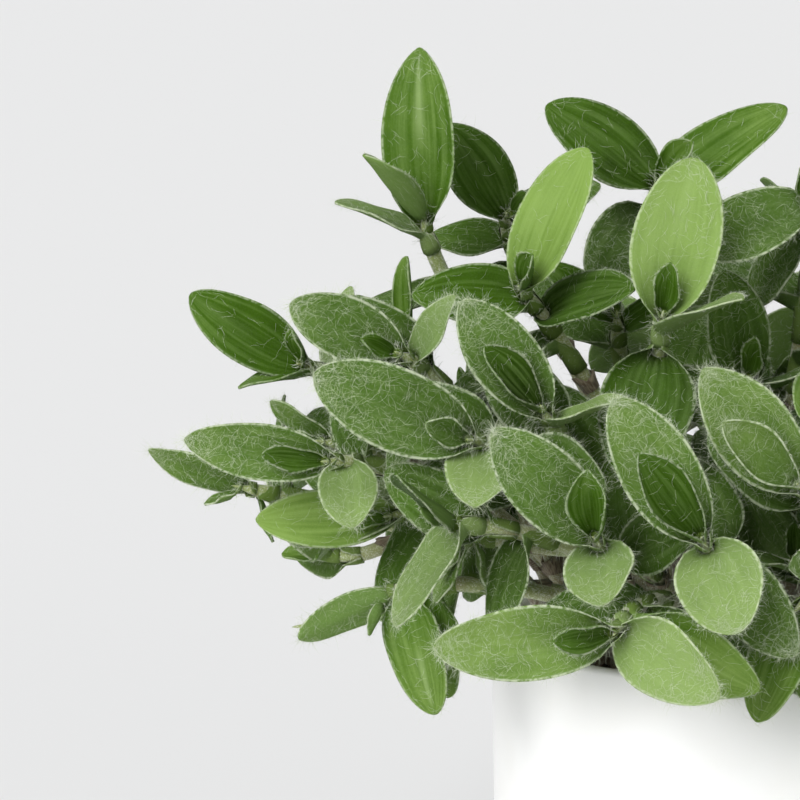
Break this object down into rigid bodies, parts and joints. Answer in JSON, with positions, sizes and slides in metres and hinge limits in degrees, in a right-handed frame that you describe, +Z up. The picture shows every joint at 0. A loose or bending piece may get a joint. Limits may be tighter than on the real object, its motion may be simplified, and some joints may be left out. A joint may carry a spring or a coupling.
{
  "type": "potted white velvet tradescantia",
  "caption": "Bushy potted tradescantia: upright leafy stems with boat-shaped, white-woolly leaves rise from potting soil in a plain round white pot.",
  "frame": {"origin": "centre of the pot's flat foot, on the surface that it stands on", "axes": "+Z up, the pot's axis; -Y towards the viewer of the picture; +X to that viewer's right"},
  "size_m": [0.3118, 0.2623, 0.2723],
  "materials": {
    "glaze": "plain white satin glaze on fired clay",
    "soil": "moist crumbly peat and bark potting soil",
    "foliage": "soft matte green leaf with a felt of white hairs"
  },
  "bodies": {
    "root": {"pot": "glaze", "potting_soil": "soil", "leafy_stem_01": "foliage", "leafy_stem_02": "foliage", "leafy_stem_03": "foliage", "leafy_stem_04": "foliage", "leafy_stem_05": "foliage", "leafy_stem_06": "foliage", "leafy_stem_07": "foliage", "leafy_stem_08": "foliage", "leafy_stem_09": "foliage", "leafy_stem_10": "foliage", "leafy_stem_11": "foliage", "leafy_stem_12": "foliage", "leafy_stem_13": "foliage", "leafy_stem_14": "foliage", "leafy_stem_15": "foliage", "leafy_stem_16": "foliage", "leafy_stem_17": "foliage", "leafy_stem_18": "foliage", "leafy_stem_19": "foliage", "leafy_stem_20": "foliage", "leafy_stem_21": "foliage", "leafy_stem_22": "foliage", "leafy_stem_23": "foliage", "leafy_stem_24": "foliage", "leafy_stem_25": "foliage", "leafy_stem_26": "foliage", "leafy_stem_27": "foliage", "leafy_stem_28": "foliage", "leafy_stem_29": "foliage", "leafy_stem_30": "foliage", "leafy_stem_31": "foliage", "leafy_stem_32": "foliage", "leafy_stem_33": "foliage", "leafy_stem_34": "foliage", "leafy_stem_35": "foliage", "leafy_stem_36": "foliage", "leafy_stem_37": "foliage", "leafy_stem_38": "foliage", "leafy_stem_39": "foliage", "leafy_stem_40": "foliage", "leafy_stem_41": "foliage", "leafy_stem_42": "foliage", "leafy_stem_43": "foliage", "leafy_stem_44": "foliage", "leafy_stem_45": "foliage", "leafy_stem_46": "foliage", "leafy_stem_47": "foliage", "leafy_stem_48": "foliage", "leafy_stem_49": "foliage", "leafy_stem_50": "foliage", "leafy_stem_51": "foliage", "leafy_stem_52": "foliage", "leafy_stem_53": "foliage", "leafy_stem_54": "foliage", "leafy_stem_55": "foliage", "leafy_stem_56": "foliage"}
  },
  "joints": []
}
